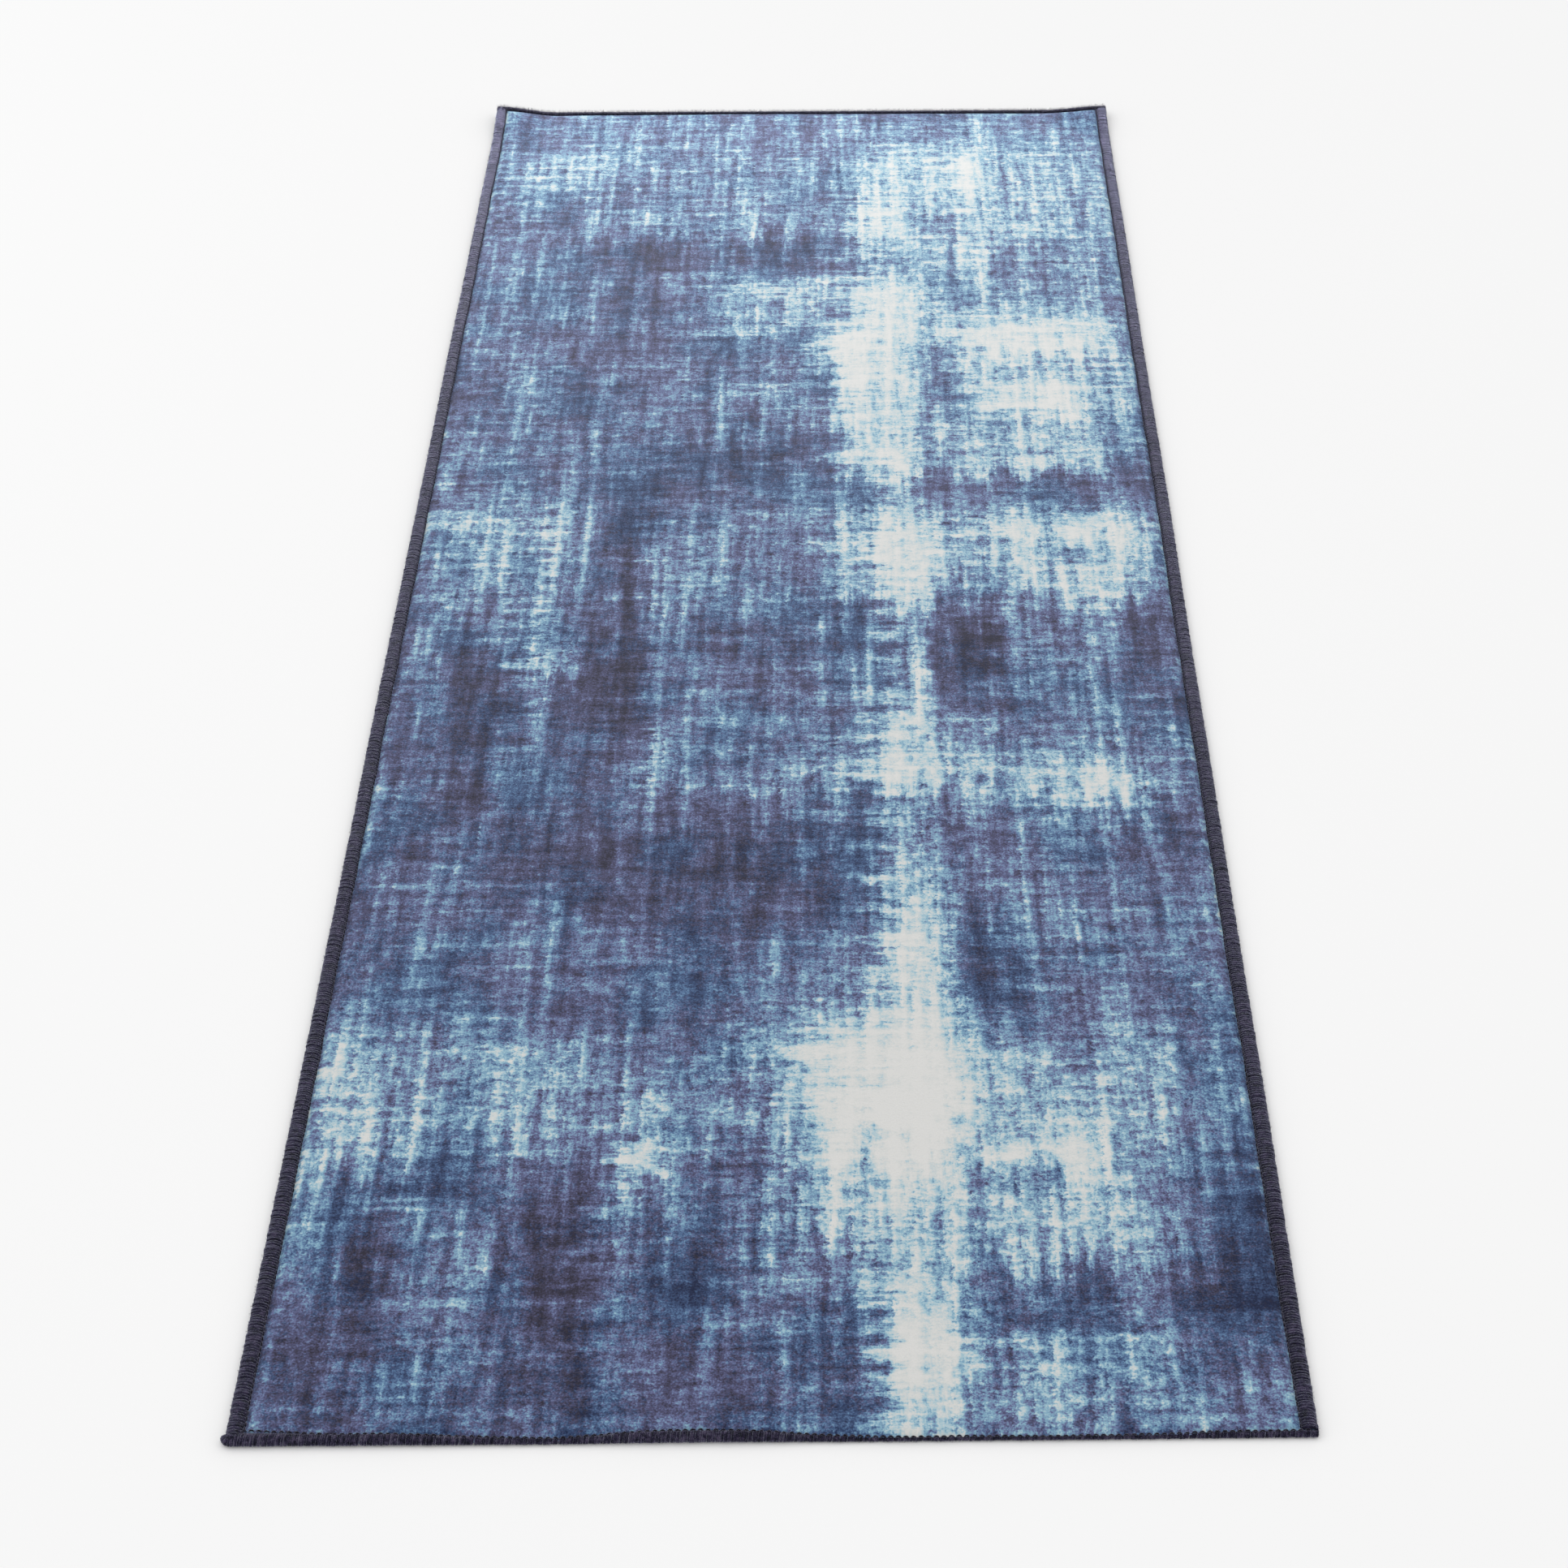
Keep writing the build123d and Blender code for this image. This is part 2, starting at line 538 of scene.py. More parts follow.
@dataclass(frozen=True)
class PrintedPile:
    """Short cut pile, printed with a distressed cross-hatch in indigo and pale blue.

    A share says how strongly a pattern moves the tone, and a pair of steps is where something
    starts and ends on a pattern or on the tone.
    """

    width: float
    length: float

    # The broad blocks, torn out along the cloth's threads
    middle_tone: float = 0.395
    rows: Grain = Grain((11.0, 60.0, 0.0), (3.0, 1.0, 0.0), 4.0, 0.7)
    row_share: float = 0.85
    row_pull: float = 0.078
    columns: Grain = Grain((60.0, 8.0, 0.0), (0.0, 8.0, 5.0), 4.0, 0.7)
    column_share: float = 1.05
    column_pull: float = 0.105
    cloud: Grain = Grain((9.0, 6.0, 0.0), (1.0, 6.0, 2.0), 3.0)
    cloud_share: float = 0.40

    # The single threads, short and long, and how ragged tufts and blots make them
    tufts: Grain = Grain((330.0, 330.0, 0.0), (5.0, 5.0, 0.0), 3.0, 0.7)
    tuft_share: float = 0.95
    tuft_pull: float = 0.010
    blots: Grain = Grain((120.0, 95.0, 0.0), (3.0, 8.0, 0.0), 3.0)
    blot_share: float = 0.95
    blot_pull: float = 0.012
    short_upright: Grain = Grain((260.0, 75.0, 0.0), (2.0, 5.0, 0.0))
    short_level: Grain = Grain((75.0, 260.0, 0.0), (9.0, 3.0, 0.0))
    short_share: float = 0.70
    long_upright: Grain = Grain((130.0, 5.0, 0.0), (4.0, 7.0, 0.0), 3.0)
    long_upright_share: float = 1.25
    long_level: Grain = Grain((11.0, 120.0, 0.0), (6.0, 1.0, 0.0), 3.0)
    long_level_share: float = 0.75
    stray_steps: tuple[float, float] = (0.56, 0.72)
    stray_share: float = 0.12

    # How much the threads show: least in dark ink, most in the middle, less where bleached
    dark_reach: float = 0.48
    middle_reach_gain: float = 0.52
    middle_steps: tuple[float, float] = (0.15, 0.65)
    bleached_reach_loss: float = 0.44
    bleached_steps: tuple[float, float] = (0.66, 1.00)

    # The pile itself, and how it and the whole tone are brought into the inks' range
    pile: Grain = Grain((750.0, 750.0, 750.0), roughness=0.7)
    dark_pile_share: float = 0.95
    bleached_pile_loss: float = 0.55
    pile_steps: tuple[float, float] = (0.40, 0.80)
    contrast: float = 0.72
    brightness: float = 0.11
    pile_depth: float = 0.0006

    # Where plum ink takes over from blue
    family: Grain = Grain((12.0, 9.0, 0.0), (7.0, 2.0, 0.0), 5.0, 0.7)
    flecks: Grain = Grain((520.0, 520.0, 520.0), (4.0, 4.0, 4.0), roughness=0.7)
    fleck_share: float = 0.60
    plum_steps: tuple[float, float] = (0.39, 0.57)

    def _tone(self, shader: Shader) -> Value:
        """The print's broad light and dark.

        Args:
            shader: the shader that holds it.

        Returns:
            A tone, 0 inked to 1 bleached.
        """
        flat = shader.vector("MULTIPLY", shader.place, (1.0, 1.0, 0.0))
        rows = shader.grain(flat, self.rows) - 0.5
        columns = shader.grain(flat, self.columns) - 0.5
        pull = shader.joined(rows * self.row_pull, columns * self.column_pull)
        pulled = shader.vector("ADD", flat, pull)
        cloud = shader.grain(flat, self.cloud) - 0.5
        tone = cloud * self.cloud_share + rows * self.row_share + columns * self.column_share
        tone = tone + self.middle_tone
        for block in PALE_BLOCKS + DARK_BLOCKS:
            patch = Patch(*block)
            tone = tone + self._patch(shader, pulled, patch) * patch.strength
        return tone

    def _patch(self, shader: Shader, place: bpy.types.NodeSocket, patch: Patch) -> Value:
        """One soft-edged block.

        Args:
            shader: the shader that holds it.
            place: where the print is read, in metres.
            patch: the block.

        Returns:
            1 inside the block, falling to 0 outside it.
        """
        size = (patch.half_width * self.width, patch.half_length * self.length)
        centre = ((patch.across - 0.5) * self.width, (patch.along - 0.5) * self.length)
        scale = (1.0 / size[0], 1.0 / size[1], 0.0)
        shift = (-centre[0] / size[0], -centre[1] / size[1], 0.0)
        reach = shader.vector("MULTIPLY_ADD", place, scale, shift)
        square = shader.vector("MULTIPLY", reach, reach)
        return math.exp(-1.0) ** shader.dot(square, square)

    def _threads(self, shader: Shader, tone: Value) -> Value:
        """Break a tone up into short threads of both directions and stray bleached lines.

        Args:
            shader: the shader that holds it.
            tone: the broad tone.

        Returns:
            The tone, thread by thread.
        """
        tufts = shader.grain(shader.place, self.tufts) - 0.5
        blots = shader.grain(shader.place, self.blots) - 0.5
        pull = shader.joined(tufts * self.tuft_pull, blots * self.blot_pull)
        ragged = shader.vector("ADD", shader.place, pull)
        upright = shader.grain(ragged, self.short_upright)
        level = shader.grain(ragged, self.short_level)
        long_upright = shader.grain(ragged, self.long_upright)
        long_level = shader.grain(ragged, self.long_level)
        middle = shader.stepped(tone, *self.middle_steps) * self.middle_reach_gain
        bleached = shader.stepped(tone, *self.bleached_steps) * self.bleached_reach_loss
        reach = middle + self.dark_reach - bleached
        stray = shader.stepped(long_upright, *self.stray_steps)
        stray = stray + shader.stepped(long_level, *self.stray_steps)
        woven = (upright + level - 1.0) * self.short_share
        woven = woven + tufts * self.tuft_share + blots * self.blot_share
        streaks = (long_upright - 0.5) * self.long_upright_share
        streaks = streaks + (long_level - 0.5) * self.long_level_share + stray * self.stray_share
        return tone + (woven + streaks) * reach

    def material(self) -> bpy.types.Material:
        """Make the printed pile's material.

        Returns:
            The material.
        """
        shader = Shader("printed_pile")
        tone = self._threads(shader, self._tone(shader))
        pile = shader.grain(shader.place, self.pile)
        bleached = shader.stepped(tone, *self.pile_steps) * self.bleached_pile_loss
        tone = tone + (pile - 0.5) * (self.dark_pile_share - bleached)
        tone = tone * self.contrast + self.brightness
        family = shader.grain(shader.place, self.family)
        flecks = shader.grain(shader.place, self.flecks) - 0.5
        ink = shader.mixed(
            shader.stepped(family + flecks * self.fleck_share, *self.plum_steps),
            shader.ramp(tone, BLUE_STOPS + PALE_STOPS),
            shader.ramp(tone, PLUM_STOPS + PALE_STOPS),
        )
        shader.dress(
            Base_Color=ink,
            Roughness=0.92,
            Specular_IOR_Level=0.12,
            Sheen_Weight=0.28,
            Sheen_Roughness=0.42,
            Sheen_Tint=(0.72, 0.84, 1.0),
        )
        shader.relief(pile, self.pile_depth, 0.55)
        return shader.material


@dataclass(frozen=True)
class Yarn:
    """Dense overlocking yarn: dark plies, each stitch its own shade.

    A share says how strongly a pattern moves the tone from the dark colour to the light one.
    """

    name: str
    dark: Triple
    middle: Triple
    light: Triple
    middle_tone: float = 0.27
    shade_share: float = 0.35
    plies: Grain = Grain((0.7, 5.5, 5.5))
    ply_share: float = 0.7
    # Fine fibre fuzz: in the colour it is partly fuzz and partly painted shade in the gaps between
    # fibres; in the bump it is real relief
    fluff_and_gap_shade: Grain = Grain((1300.0, 1300.0, 1300.0), roughness=0.7)
    fluff_and_gap_shade_share: float = 1.2
    mottle: Grain = Grain((330.0, 330.0, 330.0), (3.0, 0.0, 6.0))
    mottle_share: float = 1.8
    sheen: float = 0.72
    relief_depth: float = 0.0008

    def material(self) -> bpy.types.Material:
        """Make the yarn's material, which follows each stitch by its own attributes.

        Returns:
            The material.
        """
        shader = Shader(self.name)
        strand = shader.attribute("strand").outputs["Vector"]
        shade = Value(shader, shader.attribute("shade").outputs["Fac"])
        plies = shader.grain(strand, self.plies)
        fluff_and_gap_shade = shader.grain(shader.place, self.fluff_and_gap_shade)
        mottle = shader.grain(shader.place, self.mottle)
        tone = shade * self.shade_share + (plies - 0.5) * self.ply_share
        # The fine fluff term darkens the yarn in small spots: partly fuzz, partly painted shade
        # between fibres
        tone = tone + (fluff_and_gap_shade - 0.5) * self.fluff_and_gap_shade_share + (mottle - 0.5) * self.mottle_share
        stops = ((0.1, self.dark), (0.5, self.middle), (0.9, self.light))
        shader.dress(
            Base_Color=shader.ramp(tone + self.middle_tone, stops),
            Roughness=0.88,
            Specular_IOR_Level=0.15,
            Sheen_Weight=self.sheen,
            Sheen_Roughness=0.25,
            Sheen_Tint=(0.74, 0.76, 1.0),
        )
        shader.relief(plies * 0.6 + fluff_and_gap_shade + mottle * 1.2, self.relief_depth, 0.8)
        return shader.material


@dataclass(frozen=True)
class GroundWeave:
    """Plain woven ground cloth, with slubs that run along it."""

    threads_per_metre: float = 620.0
    slub: Grain = Grain((300.0, 40.0, 300.0), (1.0, 0.0, 0.0), 3.0)
    thread_depth: float = 0.0003

    def material(self) -> bpy.types.Material:
        """Make the ground cloth's material.

        Returns:
            The material.
        """
        shader = Shader("ground_cloth")
        x, y, _ = shader.parts(shader.place)
        rate = math.pi * self.threads_per_metre
        weave = shader.maths("SINE", x * rate) * shader.maths("SINE", y * rate)
        weave = shader.maths("ABSOLUTE", weave)
        slub = shader.grain(shader.place, self.slub)
        stops = ((0.0, (0.20, 0.19, 0.17)), (0.6, (0.42, 0.40, 0.36)), (1.0, (0.60, 0.57, 0.52)))
        shader.dress(
            Base_Color=shader.ramp(weave * 0.6 + slub * 0.5, stops),
            Roughness=0.9,
            Specular_IOR_Level=0.2,
        )
        shader.relief(weave, self.thread_depth, 0.8)
        return shader.material


@dataclass(frozen=True)
class LatexBacking:
    """Pale matte latex, moulded with a fine non-slip grain."""

    dots_per_metre: float = 210.0
    dot_steps: tuple[float, float] = (0.18, 0.42)
    dot_depth: float = 0.0004
    cloud: Grain = Grain((22.0, 22.0, 22.0), (5.0, 0.0, 0.0), 4.0)
    fine: Grain = Grain((900.0, 900.0, 900.0))

    def material(self) -> bpy.types.Material:
        """Make the backing's material.

        Returns:
            The material.
        """
        shader = Shader("latex_backing")
        at = shader.vector("MULTIPLY", shader.place, (self.dots_per_metre,) * 3)
        inputs = {"Vector": at, "Scale": 1.0, "Randomness": 0.12}
        cells = Value(shader, shader.node("ShaderNodeTexVoronoi", None, inputs).outputs["Distance"])
        dots = 1.0 - shader.stepped(cells, *self.dot_steps)
        cloud = shader.grain(shader.place, self.cloud)
        fine = shader.grain(shader.place, self.fine)
        stops = ((0.2, (0.46, 0.44, 0.40)), (0.6, (0.62, 0.60, 0.55)), (1.0, (0.72, 0.70, 0.66)))
        shader.dress(
            Base_Color=shader.ramp(cloud * 0.6 + dots * 0.25 + fine * 0.2, stops),
            Roughness=0.62 + (fine - 0.5) * 0.3,
            Specular_IOR_Level=0.35,
        )
        shader.relief(dots + fine * 0.3, self.dot_depth, 0.7)
        return shader.material


# ---- pieces


def put_in_order(shape: bmesh.types.BMesh) -> None:
    """Order a shape's points and faces by their place, so that every run gives the same mesh."""
    shape.verts.sort(key=lambda vert: vert.co.dot(ORDER))
    shape.faces.sort(key=lambda face: face.calc_center_median().dot(ORDER))


def finished(name: str, shape: bmesh.types.BMesh, material: bpy.types.Material) -> bpy.types.Object:
    """Turn a drawn shape into a smooth-shaded object at the origin.

    Args:
        name: the object's name.
        shape: the shape, which is freed.
        material: its finish.

    Returns:
        The object, in the scene.
    """
    mesh = bpy.data.meshes.new(name)
    shape.to_mesh(mesh)
    shape.free()
    mesh.materials.append(material)
    mesh.shade_smooth()
    piece = bpy.data.objects.new(name, mesh)
    bpy.context.scene.collection.objects.link(piece)
    return piece


def ridden(piece: bpy.types.Object, node: str, slot: str) -> None:
    """Put a piece on the rug in place of a CAD node.

    Args:
        piece: the finished piece.
        node: the CAD node that it stands for.
        slot: not used.
    """
    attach(piece, BODY)
    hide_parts(node)
    LOG.info("%s stands for %s: %d faces", piece.name, node, len(piece.data.polygons))


@dataclass
class ClothLayer:
    """One bonded layer: full thickness in the field, squeezed in the border.

    low and high are its underside and top in the field. In the border a level stands at
    border_lift plus border_share of its height in the field.
    """

    name: str
    node: str
    slot: str
    low: float
    high: float
    columns: int
    rows: int
    material: bpy.types.Material
    relief: float = 0.0
    relief_rate: float = 60.0
    crowding: float = 0.42
    border_lift: float = 0.00115
    border_share: float = 0.34

    def _spread(self, share: float) -> float:
        """Crowd a grid's lines towards its rim, where the layer changes height."""
        return share * (1.0 + self.crowding) - self.crowding * share**3

    def _height(self, lie: Lie, x: float, y: float, level: float) -> float:
        """How high a level of the layer is at a place, over the underside.

        Args:
            lie: how the rug lies.
            x: the place across the rug.
            y: the place along the rug.
            level: the level's height in the open field.

        Returns:
            The height.
        """
        open_share = lie.squeeze(x, y)
        border = self.border_lift + self.border_share * level
        spot = Vector((x * self.relief_rate, y * self.relief_rate, 1.0))
        lumps = self.relief * noise.noise(spot) * open_share
        return border + (level - border) * open_share + lumps

    def build(self, lie: Lie) -> bpy.types.Object:
        """Draw, dress and lay the layer.

        Args:
            lie: how the rug lies.

        Returns:
            The layer's object.
        """
        box_low, box_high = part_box(self.node)
        half = (box_high - box_low) / 2
        shape = bmesh.new()
        bmesh.ops.create_grid(shape, x_segments=self.columns, y_segments=self.rows, size=1.0)
        for vert in shape.verts:
            vert.co.x = half.x * self._spread(vert.co.x)
            vert.co.y = half.y * self._spread(vert.co.y)
        upper = bmesh.ops.extrude_face_region(shape, geom=shape.faces[:], use_keep_orig=True)
        raised = {e for e in upper["geom"] if isinstance(e, bmesh.types.BMVert)}
        for vert in shape.verts:
            level = self.high if vert in raised else self.low
            vert.co.z = self._height(lie, vert.co.x, vert.co.y, level)
        put_in_order(shape)
        bmesh.ops.recalc_face_normals(shape, faces=shape.faces[:])
        lie.settle(shape)
        layer = finished(self.name, shape, self.material)
        ridden(layer, self.node, self.slot)
        return layer


class Course(Enum):
    """How many steps a yarn takes over, round and under the edge."""

    OVER = 3
    ROUND = 5
    UNDER = 2


WRAP_STEPS = sum(course.value for course in Course)
FIBRE_STEPS = 2
STITCH_STEPS = 4


@dataclass(frozen=True)
class WrapLine:
    """The line of one yarn as it wraps the edge, seen along the edge.

    The yarn rises by dip from its needle line, runs level, turns down over the shoulder and
    goes back under the cloth. Where the level part is shorter than dip_run it dips less.
    """

    depth: float
    crown: float
    half_thickness: float
    shoulder: float = 0.0044
    under_run: float = 0.0085
    dip: float = 0.0023
    dip_run: float = 0.004
    turn_limit: float = 0.9
    feel: float = 0.05

    @property
    def outer(self) -> float:
        """How far out the line reaches."""
        return self.depth - self.half_thickness

    def point(self, step: float) -> tuple[float, float]:
        """A point on the line.

        Args:
            step: how far along it is, in the steps of Course.

        Returns:
            The distance out from the needle line, and the height.
        """
        over, turn = Course.OVER.value, Course.ROUND.value
        top = self.crown - self.half_thickness
        bend = top / 2 - self.half_thickness / 2
        level = max(self.outer - self.shoulder, 0.0)
        if step <= over:
            share = step / over
            dip = self.dip * min(level / self.dip_run, 1.0) * (1.0 - share) ** 2
            return level * share, top - dip
        if step <= over + turn:
            missing = max(1.0 - self.outer / self.shoulder, 0.0)
            start = math.asin(min(missing, self.turn_limit))
            angle = start + (math.pi - start) * (step - over) / turn
            width = self.shoulder if angle < math.pi / 2 else bend
            out = self.outer - width * (1.0 - math.sin(angle))
            return out, top - bend * (1.0 - math.cos(angle))
        share = (step - over - turn) / Course.UNDER.value
        return self.outer - bend - self.under_run * share, self.half_thickness

    def offset_point(self, step: float, thickness: float) -> tuple[float, float]:
        """A point off the line, on the outer side of the wrap.

        Args:
            step: how far along the line it is.
            thickness: how far off the line, positive away from the cloth.

        Returns:
            The distance out from the needle line, and the height.
        """
        ahead = self.point(min(step + self.feel, WRAP_STEPS))
        behind = self.point(max(step - self.feel, 0.0))
        run, rise = ahead[0] - behind[0], ahead[1] - behind[1]
        length = math.hypot(run, rise) or 1.0
        out, height = self.point(step)
        return out - rise / length * thickness, height + run / length * thickness


SEED_GAP = 10007
SHADE_SHIFT = 40.0
STRAND_SHIFT = 3.7
CRIMP = 0.00016
CRIMP_RATE = 800.0
TIP_WIDTH = 0.6


def yarn_rod(sides: int, steps: int) -> bpy.types.Mesh:
    """A straight rod of yarn along +X, one unit to a step, with tapered ends.

    Args:
        sides: how many sides its section has.
        steps: how many steps long it is.

    Returns:
        The rod's mesh, of unit radius.
    """
    rod = bmesh.new()
    bmesh.ops.create_cone(
        rod, cap_ends=True, segments=sides, radius1=1.0, radius2=1.0, depth=float(steps)
    )
    long_edges = [e for e in rod.edges if abs(e.verts[0].co.z - e.verts[1].co.z) > 0.5]
    bmesh.ops.subdivide_edges(rod, edges=long_edges, cuts=steps - 1, use_grid_fill=False)
    bmesh.ops.rotate(rod, verts=rod.verts[:], matrix=Matrix.Rotation(math.pi / 2, 3, "Y"))
    bmesh.ops.translate(rod, verts=rod.verts[:], vec=(steps / 2, 0.0, 0.0))
    tips = [v for v in rod.verts if abs(v.co.x - steps / 2) > steps / 2 - 0.01]
    bmesh.ops.scale(rod, verts=tips, vec=(1.0, TIP_WIDTH, TIP_WIDTH))
    put_in_order(rod)
    bmesh.ops.recalc_face_normals(rod, faces=rod.faces[:])
    mesh = bpy.data.meshes.new("yarn_rod")
    rod.to_mesh(mesh)
    rod.free()
    return mesh


def new_row() -> bmesh.types.BMesh:
    """An empty row, ready to hold each point's place in its strand and its shade.

    Returns:
        The row.
    """
    row = bmesh.new()
    row.verts.layers.float_vector.new("strand")
    row.verts.layers.float.new("shade")
    return row


def lay_strands(
    row: bmesh.types.BMesh,
    rod: bpy.types.Mesh,
    count: int,
    seed: int,
    strand_of: Callable[[int, random.Random], Bend],
) -> None:
    """Lay alike strands in a row, each with its own small differences.

    Args:
        row: the row that they join.
        rod: the straight rod that every strand is bent from.
        count: how many strands there are.
        seed: their own source of chance.
        strand_of: gives a strand's bend, from its number and its own source of chance.
    """
    first = len(row.verts)
    for _ in range(count):
        row.from_mesh(rod)
    strand = row.verts.layers.float_vector["strand"]
    shade = row.verts.layers.float["shade"]
    per_strand = len(rod.vertices)
    bend, own_shade = None, 0.0
    for index, vert in enumerate(row.verts[first:]):
        number, place = divmod(index, per_strand)
        if place == 0:
            chance = random.Random(seed * SEED_GAP + number)
            own_shade = chance.random()
            bend = strand_of(number, chance)
        vert[shade] = own_shade
        vert[strand] = vert.co + Vector((own_shade * SHADE_SHIFT, 0.0, number * STRAND_SHIFT))
        vert.co = bend(vert.co.copy())
        vert.co += noise.noise_vector(vert.co * CRIMP_RATE) * CRIMP


@dataclass
class Edging:
    """The overlocked yarn that wraps one edge, its strands bunched stitch by stitch.

    Strands turn in a fan round the corner at the far end of the run, if fan_strands says so,
    corner_inset in from the end and with an edging corner_depth deep. Loose fibres stand on the
    wrap up to bare_steps before it goes under the cloth. Spreads are the lowest and highest
    share of a plain value, or a departure from it.
    """

    edge: Edge
    node: str
    material: bpy.types.Material
    pitch: float
    strands: int
    fibres: int
    fibre_length: float
    end_margin: float
    fan_strands: int = 0
    bunching: float = 0.92
    jitter: float = 0.06
    half_width_share: float = 0.80
    width_spread: tuple[float, float] = (0.8, 1.2)
    half_thickness: float = 0.00058
    swell_spread: tuple[float, float] = (-0.00022, 0.00024)
    ply_drop: float = 0.00012
    lean: float = 0.35
    lean_spread: tuple[float, float] = (0.5, 1.5)
    lean_pivot: float = 0.3
    corner_inset: float = 0.0036
    corner_depth: float = 0.0060
    corner_turn: float = -84.0
    fibre_radius: float = 0.00007
    fibre_spread: tuple[float, float] = (0.4, 1.2)
    fibre_root: float = 0.6
    fibre_bow: float = 0.5
    fibre_drift: float = 0.8
    bare_start: float = 0.2
    bare_steps: float = 2.2
    step_length: float = 0.0015
    seed: int = 7
    fibre_seed: int = 507

    def build(self, lie: Lie) -> bpy.types.Object:
        """Draw, dress and lay the edging.

        Args:
            lie: how the rug lies.

        Returns:
            The edging's object.
        """
        half_run = self.edge.half_run
        last = half_run - (self.corner_inset if self.fan_strands else self.end_margin)
        run = last + half_run - self.end_margin
        stitches = round(run / self.pitch)
        pitch = run / stitches
        straight = stitches * self.strands
        fibres = stitches * self.fibres
        pivot = Vector((last, self.edge.reach - self.corner_depth, 0.0))

        def strand_of(number: int, chance: random.Random) -> Bend:
            """How one strand is bent.

            Args:
                number: its place in the row.
                chance: its own source of chance.

            Returns:
                Its bend.
            """
            turned = max(number - straight + 1, 0)
            stitch, ply = divmod(number, self.strands)
            bunch = (ply - (self.strands - 1) / 2) / self.strands * self.bunching
            along = last - (stitches - stitch - 0.5 - bunch) * pitch if not turned else last
            along += chance.uniform(-self.jitter, self.jitter) * pitch
            width = pitch / self.strands * self.half_width_share
            width *= chance.uniform(*self.width_spread)
            swell = chance.uniform(*self.swell_spread) - self.ply_drop * (ply % 2)
            lean = pitch * self.lean * chance.uniform(*self.lean_spread)
            depth = self.corner_depth if turned else self.edge.depth(along)
            line = WrapLine(depth + swell, self.edge.crown(along) + swell / 2, self.half_thickness)
            share = turned / max(self.fan_strands, 1)
            turn = Matrix.Rotation(math.radians(self.corner_turn * share), 4, "Z")

            def bend(spot: Vector) -> Vector:
                """Where a point of the straight rod goes.

                Args:
                    spot: the point on the rod.

                Returns:
                    Its place on the rug.
                """
                out, height = line.offset_point(spot.x, spot.z * self.half_thickness)
                side = spot.y * width + lean * (spot.x / WRAP_STEPS - self.lean_pivot)
                flat = Vector((along + side, self.edge.reach - depth + out, height))
                return self.edge.turn @ (turn @ (flat - pivot) + pivot)

            return bend

        def fibre_of(number: int, chance: random.Random) -> Bend:
            """How one loose fibre is bent.

            Args:
                number: its place in the row.
                chance: its own source of chance.

            Returns:
                Its bend.
            """
            along = last - run * (number + chance.random()) / fibres
            line = WrapLine(self.edge.depth(along), self.edge.crown(along), self.half_thickness)
            bare = Course.OVER.value + Course.ROUND.value - self.bare_steps
            root = chance.uniform(self.bare_start, bare)
            bow = chance.uniform(-self.fibre_bow, self.fibre_bow)
            length = self.fibre_length * chance.uniform(*self.fibre_spread)
            drift = chance.uniform(-self.fibre_drift, self.fibre_drift) * length
            start = self.half_thickness * self.fibre_root

            def bend(spot: Vector) -> Vector:
                """Where a point of the straight rod goes.

                Args:
                    spot: the point on the rod.

                Returns:
                    Its place on the rug.
                """
                share = spot.x / FIBRE_STEPS
                step = root + bow * share - spot.z * self.fibre_radius / self.step_length
                out, height = line.offset_point(step, length * share + start)
                side = spot.y * self.fibre_radius + drift * share * share
                return self.edge.placed(along + side, out, height)

            return bend

        row = new_row()
        side_seed = abs(self.edge.side.value)
        count = straight + self.fan_strands
        lay_strands(row, yarn_rod(6, WRAP_STEPS), count, side_seed + self.seed, strand_of)
        lay_strands(row, yarn_rod(3, FIBRE_STEPS), fibres, side_seed + self.fibre_seed, fibre_of)
        lie.settle(row)
        piece = finished(self.node.replace("edging", "edging_yarn"), row, self.material)
        ridden(piece, self.node, "edging_yarn")
        return piece


@dataclass
class NeedleThread:
    """The row of needle stitches that locks an edging along its inner line.

    crown_share is how high a stitch's ends stand, as a share of the edging's height there.
    """

    edge: Edge
    node: str
    material: bpy.types.Material
    pitch: float
    radius: float = 0.00056
    margin: float = 0.004
    stitch_share: float = 0.80
    arch: float = 0.0010
    crown_share: float = 0.72
    lift: float = 0.0003
    lift_jitter: float = 0.0001
    side_jitter: float = 0.00015
    seed: int = 31

    def build(self, lie: Lie) -> bpy.types.Object:
        """Draw, dress and lay the row.

        Args:
            lie: how the rug lies.

        Returns:
            The row's object.
        """
        run = 2.0 * (self.edge.half_run - self.margin)
        count = round(run / self.pitch)
        pitch = run / count

        def stitch_of(number: int, chance: random.Random) -> Bend:
            """How one stitch is bent.

            Args:
                number: its place in the row.
                chance: its own source of chance.

            Returns:
                Its bend.
            """
            middle = -run / 2 + (number + 0.5) * pitch
            lift = self.lift + chance.uniform(-self.lift_jitter, self.lift_jitter)
            drift = chance.uniform(-self.side_jitter, self.side_jitter)

            def bend(spot: Vector) -> Vector:
                """Where a point of the straight rod goes.

                Args:
                    spot: the point on the rod.

                Returns:
                    Its place on the rug.
                """
                share = spot.x / STITCH_STEPS - 0.5
                along = middle + self.stitch_share * share * pitch
                arch = self.arch * (1.0 - (2.0 * share) ** 2)
                low = self.edge.crown(along) * self.crown_share
                level = low + lift + arch + spot.z * self.radius
                return self.edge.placed(along, drift + spot.y * self.radius, level)

            return bend

        row = new_row()
        seed = abs(self.edge.side.value) + self.seed
        lay_strands(row, yarn_rod(6, STITCH_STEPS), count, seed, stitch_of)
        lie.settle(row)
        piece = finished(self.node.replace("thread", "stitches"), row, self.material)
        ridden(piece, self.node, "needle_thread")
        return piece


# ---- the room


